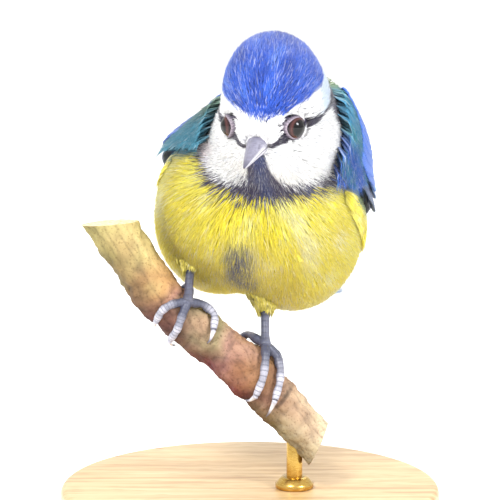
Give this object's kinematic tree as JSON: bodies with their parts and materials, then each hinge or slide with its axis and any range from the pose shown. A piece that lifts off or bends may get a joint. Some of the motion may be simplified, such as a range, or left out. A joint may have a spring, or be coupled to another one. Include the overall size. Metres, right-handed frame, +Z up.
{
  "type": "blue tit on a perch",
  "caption": "Small round songbird model, head turned and bowed, gripping a short sloping length of branch on a plain round stand.",
  "frame": {"origin": "centre of the stand base's flat underside", "axes": "+Z up, away from the surface the stand rests on; -Y is the side the bird faces; +X is the bird's left"},
  "size_m": [0.072, 0.1083, 0.0937],
  "materials": {
    "head_feathers": "soft blue, white, black and yellow feathers",
    "collar_feathers": "dark blue-black feathers",
    "body_feathers": "fluffy yellow feathers",
    "wing_feathers": "smooth blue feathers with a pale bar",
    "tail_feathers": "smooth blue feathers",
    "bill_horn": "satin grey-violet horn",
    "claw_horn": "satin grey horn",
    "leg_skin": "blue-grey scaled skin",
    "eye_glass": "clear and glossy over a brown iris",
    "bark": "dry bark in ochre, pink and green",
    "base_wood": "satin pale wood",
    "stand_brass": "brushed"
  },
  "bodies": {
    "root": {"head": "head_feathers", "neck": "collar_feathers", "torso": "body_feathers", "thigh_left": "body_feathers", "thigh_right": "body_feathers", "wing_left": "wing_feathers", "wing_right": "wing_feathers", "tail": "tail_feathers", "bill_upper": "bill_horn", "bill_lower": "bill_horn", "eye_left": "eye_glass", "eye_right": "eye_glass", "tarsus_left": "leg_skin", "tarsus_right": "leg_skin", "foot_left": "leg_skin", "foot_right": "leg_skin", "claw_left_hind": "claw_horn", "claw_left_inner": "claw_horn", "claw_left_middle": "claw_horn", "claw_left_outer": "claw_horn", "claw_right_hind": "claw_horn", "claw_right_inner": "claw_horn", "claw_right_middle": "claw_horn", "claw_right_outer": "claw_horn", "perch_branch": "bark", "stand_base": "base_wood", "stand_collar": "stand_brass", "stand_rod": "stand_brass"}
  },
  "joints": []
}
